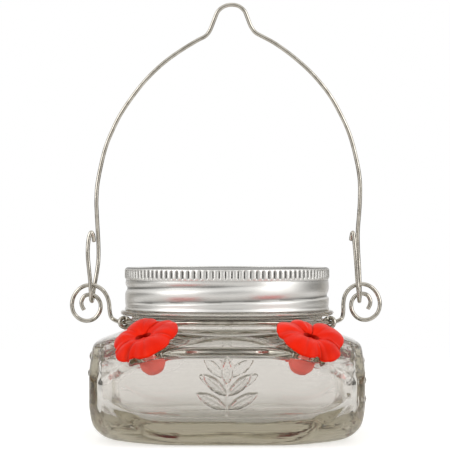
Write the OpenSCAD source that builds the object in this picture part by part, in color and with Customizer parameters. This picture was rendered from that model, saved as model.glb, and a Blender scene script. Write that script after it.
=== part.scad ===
// Hummingbird feeder made from a square wide-mouth glass jar.
// A screw lid closes the jar, red flower ports sit in its shoulder corners,
// and a wire collar round the neck carries a tall wire bail on two scrolls.
// Millimetres. Origin at the centre of the base, +Z up, front face towards -Y.

/* [Jar] */
// Width of the square body across its flat faces
jar_w = 114.8; // [112:0.2:118]
// Plan radius of the four upright corners
corner_r = 13.5; // [12:0.5:14]
// Radius of the heel along the foot of each face
heel_r = 12.5; // [10:0.5:14]
// Radius of the edge between each face and the sloping shoulder
edge_r = 3.5; // [3:0.25:4.5]
// Thickness of the side walls
wall_t = 5.5; // [4.5:0.1:6]
// Thickness of the base at its edge
base_t = 8.5; // [7:0.1:9.5]
// Height of the raised reliefs above the glass
relief_h = 0.9; // [0.6:0.1:1]

/* [Neck and mouth] */
// Radius of the neck groove that takes the collar wire
neck_r = 41.6; // [41.4:0.1:41.8]
// Radius of the bead under the lid
bead_r = 46.6; // [46:0.1:47]
// Radius of the mouth
mouth_r = 38; // [37:0.1:38.5]
// Height of the sealing rim above the base
rim_z = 71.4; // [71.2:0.1:71.4]
// Radius over the screw thread
thread_r = 42.65; // [42.3:0.05:42.7]

/* [Lid] */
// Outer radius of the screw band over the knurl
band_r = 44.75; // [44.6:0.05:45]
// Number of ribs in the knurl
knurl_n = 105; // [90:1:110]
// Thickness of the band's sheet metal
band_t = 0.5; // [0.4:0.05:0.5]

/* [Feeding ports] */
// Radius of a flower from its centre to a petal's tip
petal_r = 15; // [12:0.1:15]
// Tilt of a port's axis above the horizontal, in degrees
port_elev = 56; // [54:1:58]
// Turn of a port's axis from straight ahead towards the corner, in degrees
port_turn = 30; // [26:1:34]
// Radius of the hole through the glass
port_bore_r = 5.4; // [5:0.1:5.6]
// Radius of the feeding hole in each flower
feed_r = 1.25; // [1:0.05:1.5]

/* [Wire] */
// Diameter of the bail and collar wire
wire_d = 1.8; // [1.6:0.1:1.8]
// Sides of the polygon that a wire is swept with
wire_sides = 10; // [8:1:12]

/* [Hidden] */
$fn = 96;

hw = jar_w / 2;
wr = wire_d / 2;

glass_c = [0.80, 0.83, 0.80, 0.35];
steel_c = [0.72, 0.70, 0.66];
tin_c = [0.82, 0.82, 0.82];
red_c = [0.87, 0.12, 0.07];
seal_c = [0.93, 0.92, 0.88];

// Centre of the front right flower's face, where its feeding hole opens
port_c = [34.7, -50, 45.4];
// Depths below the flower's face, along the port's axis
flower_seat = 2.4;
flange_t = 1.3;
glass_seat = flower_seat + flange_t + 0.2;
stopper_len = 17.2;

// Height of the glass where the neck rises from it
neck_foot_z = 47.2;
// Slope of the shoulder down to each face, in degrees
shoulder_slope = 22;
// Crown round the neck: cone of this slope, then an arc that ends at a steeper slope at the corners
crown_slope = 14;
crown_cone_r = 53;
crown_arc_r = 34.5;
corner_slope = 44;
// Underside: flat to this radius, then an arc that ends at a slope under the corners
flat_r = 50;
foot_arc_r = 20.5;
foot_slope = 47;
// Radius beyond every corner, where the turned outlines end
far_r = 84;

// ---------- curves ----------
function unit(v) = v / norm(v);
function cr(a, b, c, d, t) =
    0.5 * (2 * b + (c - a) * t + (2 * a - 5 * b + 4 * c - d) * t * t + (3 * b - a - 3 * c + d) * t * t * t);
// Smooth curve through the points of P, with n steps between neighbours
function smooth(P, n) = let (m = len(P) - 1) concat(
    [for (i = [0 : m - 1], k = [0 : n - 1])
        cr(P[max(i - 1, 0)], P[i], P[i + 1], P[min(i + 2, m)], k / n)], [P[m]]);
function tangent(P, i) = unit(P[min(i + 1, len(P) - 1)] - P[max(i - 1, 0)]);
function flip_x(P) = [for (i = [len(P) - 1 : -1 : 0]) [-P[i][0], P[i][1], P[i][2]]];
function back(P) = [for (i = [len(P) - 1 : -1 : 0]) P[i]];
// Arc about the point c, from a0 to a1 degrees measured from straight up
function arc(c, r, a0, a1, n) = [for (i = [0 : n]) let (a = a0 + (a1 - a0) * i / n) c + r * [sin(a), cos(a)]];

// Round bar of radius r swept along the points of P
module bar(P, r, sides) {
    n = len(P);
    T = [for (i = [0 : n - 1]) tangent(P, i)];
    seed = abs(T[0][2]) < 0.8 ? [0, 0, 1] : [1, 0, 0];
    U = [for (i = 0, u = unit(seed - (seed * T[0]) * T[0]); i < n;
              i = i + 1, u = i < n ? unit(u - (u * T[i]) * T[i]) : u) u];
    pts = [for (i = [0 : n - 1], k = [0 : sides - 1])
        let (a = 360 * k / sides, v = cross(T[i], U[i])) P[i] + r * (cos(a) * U[i] + sin(a) * v)];
    walls = [for (i = [0 : n - 2], k = [0 : sides - 1], h = [0, 1])
        let (a = i * sides + k, b = i * sides + (k + 1) % sides, c = a + sides, d = b + sides)
        h == 0 ? [a, c, b] : [b, c, d]];
    polyhedron(points = pts, faces = concat([[for (k = [0 : sides - 1]) k]], walls,
        [[for (k = [sides - 1 : -1 : 0]) (n - 1) * sides + k]]), convexity = 8);
}

// ---------- jar ----------
module rounded_block(h, r, z0, z1) {
    translate([0, 0, z0]) linear_extrude(z1 - z0) {
        square([2 * (h - r), 2 * h], center = true);
        square([2 * h, 2 * (h - r)], center = true);
        for (sx = [-1, 1], sy = [-1, 1]) translate([sx * (h - r), sy * (h - r)]) circle(r);
    }
}
// Upright plate outline with rounded corners: half width h, from z0 to z1
module edge_profile(h, z0, z1, r0, r1) {
    translate([-h, z0 + r0]) square([2 * h, z1 - r1 - z0 - r0]);
    translate([-h + r0, z0]) square([2 * (h - r0), r0 + 1]);
    translate([-h + r1, z1 - r1 - 1]) square([2 * (h - r1), r1 + 1]);
    for (s = [-1, 1]) {
        translate([s * (h - r0), z0 + r0]) circle(r0);
        translate([s * (h - r1), z1 - r1]) circle(r1);
    }
}
module edge_prism(h, z0, z1, r0, r1) {
    rotate([90, 0, 0]) linear_extrude(2 * h + 20, center = true) edge_profile(h, z0, z1, r0, r1);
}
// Shoulder above each face, straight along the face: sloping plane, then the rounded edge
function shoulder() = let (
    x = hw - edge_r,
    z = neck_foot_z - (x + edge_r * sin(shoulder_slope) - neck_r) * tan(shoulder_slope))
    concat([[neck_r, neck_foot_z]], arc([x, z - edge_r * cos(shoulder_slope)], edge_r, shoulder_slope, 90, 9));
// Crown round the neck, which slopes away at the four corners
function crown() = let (
    z = neck_foot_z - (crown_cone_r - neck_r) * tan(crown_slope),
    c = [crown_cone_r, z] - crown_arc_r * [sin(crown_slope), cos(crown_slope)],
    P = arc(c, crown_arc_r, crown_slope, corner_slope, 10), e = P[10])
    concat([[0, neck_foot_z + 0.2], [neck_r, neck_foot_z]], P, [[far_r, e[1] - (far_r - e[0]) * tan(corner_slope)]]);
// Underside, flat in the middle and rising towards the corners
function underside() = let (
    P = arc([flat_r, foot_arc_r], foot_arc_r, 180, 180 - foot_slope, 9), e = P[9])
    concat([[0, 0]], P, [[far_r, e[1] + (far_r - e[0]) * tan(foot_slope)]]);
// Outline of the whole body seen square on: rounded heel, upright face, sloping shoulder
module side_profile() {
    translate([-hw, heel_r]) square([2 * hw, 30 - heel_r]);
    translate([-hw + heel_r, 0]) square([2 * (hw - heel_r), heel_r + 1]);
    for (s = [-1, 1]) translate([s * (hw - heel_r), heel_r]) circle(heel_r);
    polygon(concat([[-hw, 29]], [for (p = back(shoulder())) [-p[0], p[1]]], shoulder(), [[hw, 29]]));
}
module body_outside() {
    intersection() {
        rounded_block(hw, corner_r, 0, 50);
        rotate([90, 0, 0]) linear_extrude(140, center = true) side_profile();
        rotate([0, 0, 90]) rotate([90, 0, 0]) linear_extrude(140, center = true) side_profile();
        rotate_extrude() polygon(concat(underside(), back(crown())));
    }
}
module body_inside() {
    hi = hw - wall_t;
    intersection() {
        rounded_block(hi, corner_r - 4.5, 0, 50);
        edge_prism(hi, base_t, 39.5, 9, 3);
        rotate([0, 0, 90]) edge_prism(hi, base_t, 39.5, 9, 3);
        rotate_extrude() polygon([[0, base_t + 0.9], [25, base_t + 0.6], [42, base_t], [50, base_t + 0.1], [54, base_t + 0.6],
            [58, base_t + 1.6], [62, base_t + 3.3], [66, base_t + 5.9], [70, base_t + 9.5], [76, base_t + 16.5], [76, 26], [68, 30.8], [62, 34.2], [57.5, 36.4], [50, 39.4], [44, 41], [41, 41.6], [0, 41.6]]);
    }
}
module port_place(sx, sy) {
    mirror_if(sx < 0, [1, 0, 0]) mirror_if(sy > 0, [0, 1, 0])
        translate(port_c) rotate([0, 90 - port_elev, port_turn - 90]) children();
}
module mirror_if(on, axis) {
    if (on) mirror(axis) children();
    else children();
}
// Screw thread: a low helical rib round the mouth
module thread() {
    turns = 1.25;
    pitch = 6.35;
    steps = 60;
    ring = [[-1.1, 0], [-0.4, 1], [0.4, 1], [1.1, 0], [1.1, -1], [-1.1, -1]];
    n = len(ring);
    pts = [for (i = [0 : steps], p = ring)
        let (a = 360 * turns * i / steps,
             fade = min(1, min(i, steps - i) / 4),
             r = p[1] < 0 ? neck_r - 0.8 : neck_r - 0.05 + p[1] * (thread_r - neck_r + 0.05) * (0.15 + 0.85 * fade))
        [r * cos(a), r * sin(a), 58.6 + pitch * turns * i / steps + p[0] * 0.9]];
    walls = [for (i = [0 : steps - 1], k = [0 : n - 1], h = [0, 1])
        let (a = i * n + k, b = i * n + (k + 1) % n, c = a + n, d = b + n)
        h == 0 ? [a, c, b] : [b, c, d]];
    polyhedron(points = pts, faces = concat([[for (k = [0 : n - 1]) k]], walls,
        [[for (k = [n - 1 : -1 : 0]) steps * n + k]]), convexity = 6);
}
// Leaf outline: two arcs that meet at the leaf's ends
module leaf2d(len, w) {
    r = (len * len / 4 + w * w / 4) / w;
    translate([len / 2, 0]) intersection() {
        translate([0, r - w / 2]) circle(r);
        translate([0, w / 2 - r]) circle(r);
    }
}
// Raised sprig of leaves on a flat face, drawn in X and Y with its foot at the origin
module sprig2d() {
    translate([-0.6, 0]) square([1.2, 14]);
    for (s = [-1, 1]) {
        translate([0, 2.5]) rotate(90 - s * 62) leaf2d(14.5, 5);
        translate([0, 8]) rotate(90 - s * 48) leaf2d(13.5, 4.8);
    }
    translate([0, 12.5]) rotate(90) leaf2d(12, 5);
}
module stud(x, y, z) {
    translate([x, y, z]) sphere(r = 2.8);
}
module glass_jar() {
    color(glass_c) difference() {
        union() {
            body_outside();
            rotate_extrude() polygon([[0, 42], [neck_r, 42], [neck_r, 52.4], [bead_r - 0.7, 52.4], [bead_r, 53.1],
                [bead_r, 53.9], [bead_r - 0.7, 54.6], [neck_r, 54.6], [neck_r, rim_z - 1], [neck_r - 1, rim_z],
                [mouth_r + 0.6, rim_z], [0, rim_z]]);
            thread();
            for (sx = [-1, 1], sy = [-1, 1]) port_place(sx, sy)
                translate([0, 0, -glass_seat - 7]) cylinder(r = 8.4, h = 7);
            translate([0, -hw + 1, 13.2]) rotate([90, 0, 0]) linear_extrude(1 + relief_h) sprig2d();
            translate([0, hw - 1, 13.2]) rotate([90, 0, 180]) linear_extrude(1 + relief_h) sprig2d();
            for (z = [18.7, 26.5], k = [-4 : 4]) stud(hw + relief_h - 2.8, k * 9.6, z);
            for (k = [-3 : 3]) stud(hw + relief_h - 2.8, k * 9.6, 34);
            for (k = [-4 : 4]) stud(-hw - relief_h + 2.8, k * 9.6, 29.5);
            for (k = [-3 : 3]) stud(-hw - relief_h + 2.8, k * 9.6, 36);
        }
        body_inside();
        rotate_extrude() polygon([[0, 36], [mouth_r - 1.5, 36], [mouth_r, 44], [mouth_r, rim_z - 0.8], [mouth_r + 0.6, rim_z + 0.01],
            [mouth_r + 0.6, rim_z + 1], [0, rim_z + 1]]);
        for (sx = [-1, 1], sy = [-1, 1]) port_place(sx, sy) {
            translate([0, 0, -stopper_len - 4]) cylinder(r = port_bore_r, h = stopper_len + 6);
            translate([0, 0, -glass_seat]) cylinder(r = 9.4, h = 8);
        }
    }
}

// ---------- lid ----------
module knurl2d() {
    polygon([for (i = [0 : knurl_n - 1], k = [0 : 3])
        let (a = 360 * (i + [0, 0.3, 0.5, 0.8][k]) / knurl_n, r = band_r - (k < 2 ? 0 : 0.5)) [r * cos(a), r * sin(a)]]);
}
module screw_band() {
    color(tin_c) {
        difference() {
            union() {
                rotate_extrude() polygon([[43, 54.7], [44.4, 54.7], [band_r, 55], [band_r, 55.6], [44.55, 56], [44.6, 60.6], [44.1, 61.6],
                    [43.55, 62.6], [43.45, 64], [43.6, 65.6], [44.1, 66.8], [44.3, 68.2], [44.3, 72.4], [43.5, 73.3],
                    [40, 73.3], [38.4, 73.1], [38.4, 72.9], [43, 72.85]]);
                translate([0, 0, 68.4]) linear_extrude(4) knurl2d();
            }
            rotate_extrude() polygon([[0, 54], [44.05, 54], [44.05, 61], [43.6, 61.9], [42.98, 62.9], [42.95, 65.2], [43.2, 66.2],
                [43.75, 67.4], [43.8, 72], [43.2, 72.6 + 0.25], [0, 72.85]]);
        }
    }
}
module lid_disc() {
    color(tin_c) rotate_extrude() polygon([[0, 71.9], [33.4, 71.9], [34.4, 72.2], [42.4, 72.2], [42.6, 71.7], [42.9, 71.7],
        [42.85, 72.5], [42.6, 72.7], [34.2, 72.7], [33.2, 72.4], [0, 72.4]]);
}
module lid_gasket() {
    color(seal_c) rotate_extrude() polygon([[37.6, 71.6], [41.9, 71.6], [42.1, 71.75], [42.1, 72.2], [37.6, 72.2]]);
}

// ---------- collar wires ----------
ring_r = neck_r + wr + 0.1;
leave = 60;          // angle from straight ahead at which the front wire leaves the neck
// Scroll at the right end of the front wire, from the neck outwards
scroll = [[49.4, -0.7, 50.3], [50.7, 0, 51.6], [51.2, 0, 54.2], [51.4, 0, 57.6], [52.3, 0, 60.8], [54.2, 0, 63.5], [57, 0, 65.2],
    [60.3, 0, 65.6], [63.7, 0, 64.3], [66.4, 0, 61.2], [67.5, 0, 57.2], [66.7, 0, 53.4], [64.2, 0, 50.8], [61, 0, 49.9],
    [57.7, 0, 50.9], [55.4, 0, 53.8], [55, 0, 57.2], [56.6, 0, 60.2], [59.4, 0, 61.4], [61.9, 0, 60.8], [63.2, 0, 58.8],
    [63.2, 0, 56.7], [62.2, 0, 54.6]];
collar_z = 49.4;     // height of the front wire where it leaves the neck
p_leave = [ring_r * sin(leave), -ring_r * cos(leave), collar_z];
d_leave = [cos(leave), sin(leave), 0];
// The scrolls are bent by hand, so the left one stands a little further out and lower
right_run = concat([for (s = [7, 14, 19]) p_leave + s * d_leave], [for (i = [0 : len(scroll) - 1]) scroll[i] + min(1, i / 4) * [-0.6, 0, 0.3]]);
left_run = concat([for (s = [7, 14, 19]) p_leave + s * d_leave], [for (i = [0 : len(scroll) - 1]) scroll[i] + min(1, i / 4) * [0.4, 0, -0.1]]);
front_arc = [for (a = [-leave : 6 : leave]) [ring_r * sin(a), -ring_r * cos(a), collar_z + 1.2 * cos(1.5 * a)]];
module neck_wire_front() {
    color(steel_c) bar(concat(back(smooth([for (p = left_run) [-p[0], p[1], p[2]]], 3)), front_arc, smooth(right_run, 3)), wr, wire_sides);
}
// Eye of the rear wire round the front wire on the right-hand side
eye_s = 16.6;
eye_f = p_leave + eye_s * d_leave - [0, 0, 0.05];
eye_out = [sin(leave), -cos(leave), 0];
eye = [for (a = [150 : -30 : -270]) eye_f - d_leave * (150 - a) / 360 * 2.1
    + (wire_d + 0.19) * (cos(a) * eye_out + [0, 0, sin(a)])];
rear_arc = [for (a = [-80 : 6.4 : 80]) [-ring_r * sin(a), ring_r * cos(a), 49.6 + 0.5 * cos(a)]];
module neck_wire_rear() {
    lead = [[43.4, 3.2, 49.9]];
    side = smooth(concat(lead, eye), 2);
    color(steel_c) bar(concat(back(side), rear_arc, flip_x(back(side))), wr, wire_sides);
}

// ---------- bail ----------
// The arch is bent by hand, so its hump stands a little to the right. Left leg up to the hump, and the hump down to the right leg
arch_left = [[-57.2, 0.2, 103], [-56.5, 0, 111.2], [-53.6, 0, 124.3], [-50.2, 0, 133.1], [-45.6, 0, 141.9], [-37.3, 0, 153.3], [-29.1, 0, 161.6],
    [-21.3, 0, 167.5], [-13.4, 0, 172.4], [-9.6, 0, 174.4], [-7.6, 0, 176.8], [-5.7, 0, 181.4], [-3.9, 0, 185.4], [-1, 0, 187.6]];
arch_right = [[2.1, 0, 188.2], [5.1, 0, 187.6], [7.6, 0, 185.5], [9, 0, 182.3], [10.5, 0, 178.6], [12.5, 0, 176], [15.7, 0, 174.2], [21.6, 0, 170.9],
    [29.5, 0, 165.1], [37.4, 0, 157.9], [44.7, 0, 149], [49.9, 0, 139.9], [53.8, 0, 131], [56.7, 0, 120.1], [58.1, 0, 111.5], [58.2, 0.2, 103]];
// Hooks, from the cut tip down the front, round the scroll and up the back
hook_right = [[54.2, -1.2, 85], [54.5, -2.2, 87.5], [54.9, -2.9, 88.4], [55.3, -3.2, 86.4], [55.8, -3.3, 81.5], [56.4, -3.1, 74.5],
    [56.9, -2.8, 67], [57.4, -2.7, 62.5], [57.7, -1.9, 59.3], [58, 0, 58.4], [58.2, 1.9, 59.3], [58.3, 2.7, 62.5], [58.2, 2.8, 67],
    [58, 2.9, 72.5], [57.7, 2.9, 78], [57.4, 2.5, 84], [57.4, 1.6, 90], [57.9, 0.7, 97]];
hook_left = [[-58.2, -1, 84.4], [-58.5, -1.9, 87.2], [-59.3, -2.7, 88.5], [-60.2, -3.1, 86.4], [-60.7, -3.3, 82], [-60.7, -3.2, 77.5],
    [-60.2, -3, 72], [-59.7, -2.8, 67], [-59.5, -2.7, 62.5], [-59.4, -1.9, 59.3], [-59.2, 0, 58.4], [-59, 1.9, 59.3], [-58.7, 2.7, 62.5],
    [-58, 2.8, 66.5], [-57.1, 2.9, 71.5], [-56.5, 2.9, 77], [-56.5, 2.5, 83.5], [-56.8, 1.7, 90], [-57.1, 0.7, 97]];
module bail() {
    route = concat(hook_left, arch_left, arch_right, back(hook_right));
    color(steel_c) bar(smooth(route, 2), wr, wire_sides);
}

// ---------- feeding ports ----------
// Petal outline: radius at an angle of d degrees from a petal's middle
function petal(d) = petal_r * (1 - 0.34 * pow(abs(d) / 36, 2.8));
module flower(spin) {
    na = 60;
    nr = 6;
    lift = [for (j = [0 : nr]) let (t = j / nr) 0.2 + 1.4 * sin(150 * t) - 2 * t * t];
    rings = [for (j = [0 : nr], i = [0 : na - 1])
        let (a = 360 * i / na, d = ((a + 36) % 72) - 36, t = j / nr,
             r = 2 + (petal(d) - 2) * t, z = lift[j] - 0.9 * t * pow(abs(d) / 36, 2))
        [r * cos(a + spin), r * sin(a + spin), z]];
    n = (nr + 1) * na;
    low = [for (i = [0 : n - 1]) let (j = floor(i / na)) rings[i] - [0, 0, 1.5 - 0.6 * j / nr]];
    skin = [for (j = [0 : nr - 1], i = [0 : na - 1], h = [0 : 3])
        let (a = j * na + i, b = j * na + (i + 1) % na, c = a + na, d = b + na)
        h == 0 ? [a, b, c] : h == 1 ? [b, d, c] : h == 2 ? [n + a, n + c, n + b] : [n + b, n + c, n + d]];
    rims = [for (i = [0 : na - 1], h = [0 : 3])
        let (a = i, b = (i + 1) % na, c = nr * na + i, d = nr * na + (i + 1) % na)
        h == 0 ? [a, n + a, b] : h == 1 ? [b, n + a, n + b] : h == 2 ? [c, d, n + c] : [d, n + d, n + c]];
    difference() {
        union() {
            polyhedron(points = concat(rings, low), faces = concat(skin, rims), convexity = 6);
            rotate_extrude() polygon([[0, -14.5], [2.4, -14.5], [2.9, -14], [2.9, -flower_seat - 0.01], [6.4, -flower_seat - 0.01],
                [6.8, -flower_seat + 0.6], [5.2, -0.6], [2.6, 0.4], [0, 0.4]]);
        }
        translate([0, 0, -16]) cylinder(r = feed_r, h = 20);
    }
}
module stopper() {
    difference() {
        rotate_extrude() polygon([[0, -stopper_len], [3.7, -stopper_len], [5.3, -stopper_len + 2.4], [5.3, -glass_seat + 0.1],
            [7.2, -glass_seat + 0.1], [7.6, -glass_seat + 0.5], [7.6, -flower_seat - 0.5], [7.2, -flower_seat - 0.15], [0, -flower_seat - 0.15]]);
        translate([0, 0, -stopper_len - 1]) cylinder(r = 3, h = stopper_len + 2);
    }
}
module flower_front_left() { color(red_c) port_place(-1, -1) flower(6); }
module flower_front_right() { color(red_c) port_place(1, -1) flower(20); }
module flower_rear_left() { color(red_c) port_place(-1, 1) flower(20); }
module flower_rear_right() { color(red_c) port_place(1, 1) flower(6); }
module stopper_front_left() { color(red_c) port_place(-1, -1) stopper(); }
module stopper_front_right() { color(red_c) port_place(1, -1) stopper(); }
module stopper_rear_left() { color(red_c) port_place(-1, 1) stopper(); }
module stopper_rear_right() { color(red_c) port_place(1, 1) stopper(); }

glass_jar();
screw_band();
lid_disc();
lid_gasket();
neck_wire_front();
neck_wire_rear();
bail();
flower_front_left();
flower_front_right();
flower_rear_left();
flower_rear_right();
stopper_front_left();
stopper_front_right();
stopper_rear_left();
stopper_rear_right();
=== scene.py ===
import math

import bpy
import numpy as np
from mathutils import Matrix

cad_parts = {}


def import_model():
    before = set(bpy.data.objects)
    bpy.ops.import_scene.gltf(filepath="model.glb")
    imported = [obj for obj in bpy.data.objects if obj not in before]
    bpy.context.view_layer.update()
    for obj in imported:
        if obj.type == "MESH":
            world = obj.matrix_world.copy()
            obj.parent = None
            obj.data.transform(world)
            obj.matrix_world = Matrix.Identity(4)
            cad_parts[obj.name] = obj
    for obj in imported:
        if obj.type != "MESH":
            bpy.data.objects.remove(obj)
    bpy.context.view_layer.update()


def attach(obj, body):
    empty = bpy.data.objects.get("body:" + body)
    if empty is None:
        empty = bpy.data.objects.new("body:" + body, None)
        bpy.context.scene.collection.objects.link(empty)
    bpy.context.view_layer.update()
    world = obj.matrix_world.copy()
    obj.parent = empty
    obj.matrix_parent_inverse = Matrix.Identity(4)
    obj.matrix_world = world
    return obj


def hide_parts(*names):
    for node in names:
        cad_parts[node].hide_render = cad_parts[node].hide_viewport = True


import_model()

MM = 0.001

# ------------------------------------------------------------------ camera
cam_data = bpy.data.cameras.new("camera")
cam = bpy.data.objects.new("camera", cam_data)
bpy.context.scene.collection.objects.link(cam)
cam.location = (-0.0009, -0.850, 0.083)
cam.rotation_euler = (math.pi / 2, 0, 0)
cam_data.sensor_fit = "HORIZONTAL"
cam_data.sensor_width = 36.0
cam_data.lens = 1941 * 36 / 450
cam_data.shift_y = 20 / 450
cam_data.clip_start = 0.01
cam_data.clip_end = 50
bpy.context.scene.camera = cam


# ------------------------------------------------------------------ small tools
def smax(a, b, k):
    h = np.maximum(k - np.abs(a - b), 0) / k
    return np.maximum(a, b) + h * h * k * 0.25


def smin(a, b, k):
    return -smax(-a, -b, k)


def sstep(e0, e1, x):
    t = np.clip((x - e0) / (e1 - e0), 0, 1)
    return t * t * (3 - 2 * t)


def unit(v):
    v = np.asarray(v, float)
    return v / np.linalg.norm(v)


def wave(p, seed, size):
    """Smooth seeded ripple from -1 to 1 with features of about size mm."""
    rng = np.random.default_rng(seed)
    out = np.zeros(p.shape[:-1])
    for _ in range(7):
        d = rng.normal(size=3)
        d /= np.linalg.norm(d)
        k = 2 * math.pi / (size * rng.uniform(0.7, 1.5))
        out += np.sin(p @ d * k + rng.uniform(0, 6.3))
    return out / 4.0


def new_object(name, verts_mm, faces, smooth=True, angle=None, uv=None):
    me = bpy.data.meshes.new(name)
    me.from_pydata((np.asarray(verts_mm) * MM).tolist(), [], [list(map(int, f)) for f in faces])
    me.validate(clean_customdata=False)
    ob = bpy.data.objects.new(name, me)
    bpy.context.scene.collection.objects.link(ob)
    if uv is not None:
        layer = me.uv_layers.new(name="along")
        idx = np.empty(len(me.loops), np.int32)
        me.loops.foreach_get("vertex_index", idx)
        layer.data.foreach_set("uv", np.asarray(uv, np.float32)[idx].ravel())
    finish_shading(ob, smooth, angle)
    return ob


def finish_shading(ob, smooth=True, angle=None):
    me = ob.data
    me.polygons.foreach_set("use_smooth", [smooth] * len(me.polygons))
    if smooth and angle is not None:
        me.set_sharp_from_angle(angle=math.radians(angle))
    me.update()


def grid_faces(rows, cols, wrap=True, flip=False, base=0):
    """Quads between neighbouring rows of a grid whose columns go round."""
    r = np.arange(rows - 1)[:, None]
    c = np.arange(cols if wrap else cols - 1)[None, :]
    a = base + r * cols + c
    b = base + r * cols + (c + 1) % cols
    q = np.stack([a, b, b + cols, a + cols], -1).reshape(-1, 4)
    return q[:, ::-1] if flip else q


def solid_of_rings(rings, closed_ends=True, loop=False, flip=False):
    """rings: (m, n, 3). A tube of rings, either closed by a fan at each end or joined into a loop."""
    m, n, _ = rings.shape
    verts = rings.reshape(-1, 3)
    faces = [tuple(f) for f in grid_faces(m, n)]
    if loop:
        last = (m - 1) * n
        faces += [(last + i, last + (i + 1) % n, (i + 1) % n, i) for i in range(n)]
    elif closed_ends:
        c0, c1 = rings[0].mean(0), rings[-1].mean(0)
        k = len(verts)
        verts = np.vstack([verts, c0, c1])
        faces += [(k, (i + 1) % n, i) for i in range(n)]
        faces += [(k + 1, (m - 1) * n + i, (m - 1) * n + (i + 1) % n) for i in range(n)]
    if flip:
        faces = [tuple(reversed(f)) for f in faces]
    return verts, faces


def lathe_rings(profile, n, phase=0.0, radial=None):
    """Rings round Z through the (r, z) points of a profile."""
    p = np.asarray(profile, float)
    a = 2 * math.pi * (np.arange(n) + phase) / n
    R = np.repeat(p[:, 0:1], n, 1)
    Z = np.repeat(p[:, 1:2], n, 1)
    A = np.repeat(a[None, :], len(p), 0)
    if radial is not None:
        R = R + radial(A, Z, R)
    return np.stack([R * np.cos(A), R * np.sin(A), Z], -1)


def dense(points, step, loop=False):
    """A polyline resampled so that no piece of it is longer than step, corners kept."""
    p = [np.asarray(q, float) for q in points]
    if loop:
        p.append(p[0])
    out = []
    for a, b in zip(p[:-1], p[1:]):
        k = max(1, int(math.ceil(np.linalg.norm(b - a) / step)))
        out += [a + (b - a) * i / k for i in range(k)]
    if not loop:
        out.append(p[-1])
    return np.array(out)


def soften(points, loop, times=2, amount=0.5):
    """Rounds the corners of a dense polyline a little."""
    p = np.array(points, float)
    for _ in range(times):
        if loop:
            q = (np.roll(p, 1, 0) + np.roll(p, -1, 0)) / 2
            p = p + amount * (q - p)
        else:
            q = p.copy()
            q[1:-1] = (p[:-2] + p[2:]) / 2
            p = p + amount * (q - p)
    return p


def boolean(ob, others, op):
    """ob joined with or cut by each of others, which are then removed."""
    for other in others:
        mod = ob.modifiers.new("cut", "BOOLEAN")
        mod.operation = op
        mod.object = other
        try:
            mod.solver = "MANIFOLD"
        except TypeError:
            mod.solver = "EXACT"
        dg = bpy.context.evaluated_depsgraph_get()
        me = bpy.data.meshes.new_from_object(ob.evaluated_get(dg))
        ob.modifiers.clear()
        old = ob.data
        ob.data = me
        bpy.data.meshes.remove(old)
        me2 = other.data
        bpy.data.objects.remove(other)
        bpy.data.meshes.remove(me2)


# ------------------------------------------------------------------ feeding port frame
PORT_C = np.array([34.7, -50.0, 45.4])
_b = math.radians(34)
_c = math.radians(-60)
RY = np.array([[math.cos(_b), 0, math.sin(_b)], [0, 1, 0], [-math.sin(_b), 0, math.cos(_b)]])
RZ = np.array([[math.cos(_c), -math.sin(_c), 0], [math.sin(_c), math.cos(_c), 0], [0, 0, 1]])
PORT_R = RZ @ RY
CORNERS = {
    "front_left": (-1, -1),
    "front_right": (1, -1),
    "rear_left": (-1, 1),
    "rear_right": (1, 1),
}


def port_place(p, sx, sy):
    """Points drawn on the port's own axis, put on one of the four corners. Says whether it is mirrored."""
    q = np.asarray(p) @ PORT_R.T + PORT_C
    q = q * np.array([sx, 1 if sy < 0 else -1, 1])
    return q, (sx < 0) != (sy > 0)


# ------------------------------------------------------------------ glass jar
HW = 57.4
NECK_FOOT = (41.6, 47.2)
FINE_R = np.linspace(0, 100, 1001)


def smooth_curve(table, times):
    z = np.interp(FINE_R, table[:, 0], table[:, 1])
    for _ in range(times):
        z[1:-1] = (z[:-2] + z[1:-1] * 2 + z[2:]) / 4
    return z


def arc_then_line(r0, z0, radius, a0, a1):
    """Heights at FINE_R of an arc that starts at (r0, z0) at a slope of a0 degrees and ends at a1, then a straight line"""
    a0, a1 = math.radians(a0), math.radians(a1)
    cr, cz = r0 - radius * math.sin(a0), z0 - radius * math.cos(a0)
    r1, z1 = cr + radius * math.sin(a1), cz + radius * math.cos(a1)
    on_arc = cz + np.sqrt(np.maximum(radius ** 2 - (np.clip(FINE_R, r0, r1) - cr) ** 2, 0))
    return np.where(FINE_R > r1, z1 - (FINE_R - r1) * math.tan(a1), on_arc)


def slope_from_neck(angle):
    return NECK_FOOT[1] - (FINE_R - NECK_FOOT[0]) * math.tan(math.radians(angle))


CONE_END = 53.0
shoulder_line = np.minimum(NECK_FOOT[1] + 0.1, slope_from_neck(22))
crown_cone = np.minimum(NECK_FOOT[1] + 0.1, slope_from_neck(14))
crown_line = np.where(FINE_R < CONE_END, crown_cone, arc_then_line(CONE_END, np.interp(CONE_END, FINE_R, crown_cone), 34.5, 14, 44))
foot_line = -arc_then_line(50.0, 0.0, 20.5, 0, 47)
SIDE = smooth_curve(np.stack([FINE_R, shoulder_line], -1), 80)
DOME = smooth_curve(np.stack([FINE_R, crown_line], -1), 160)
FOOT = smooth_curve(np.stack([FINE_R, foot_line], -1), 160) - 0.72
SIDE_N = np.sqrt(1 + np.gradient(SIDE, FINE_R) ** 2)
DOME_N = np.sqrt(1 + np.gradient(DOME, FINE_R) ** 2)
FOOT_N = np.sqrt(1 + np.gradient(FOOT, FINE_R) ** 2)


def sd_rect(u, v, hu, hv, r):
    qx = np.abs(u) - (hu - r)
    qy = np.abs(v) - (hv - r)
    return np.hypot(np.maximum(qx, 0), np.maximum(qy, 0)) + np.minimum(np.maximum(qx, qy), 0) - r


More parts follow.
